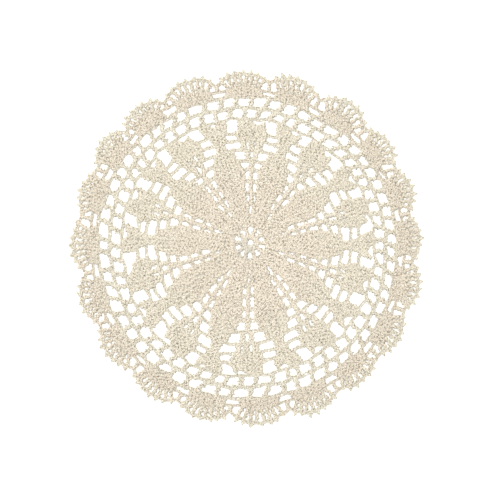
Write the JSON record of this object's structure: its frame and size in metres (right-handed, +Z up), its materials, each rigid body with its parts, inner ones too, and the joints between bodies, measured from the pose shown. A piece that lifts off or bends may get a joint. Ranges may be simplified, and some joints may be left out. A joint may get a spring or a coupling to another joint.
{
  "type": "lace doily",
  "caption": "Round crocheted cotton lace doily with a petalled middle, open windows, a net band and a scalloped picot edge, lying flat.",
  "frame": {"origin": "middle of the outline's box, on the surface that the mat lies on", "axes": "+Z up out of the mat's face, +X and +Y in its plane"},
  "size_m": [0.197, 0.1988, 0.0016],
  "materials": {
    "cotton": "matt twisted cotton crochet thread, unbleached cream"
  },
  "bodies": {
    "root": {"doily": "cotton"}
  },
  "joints": []
}
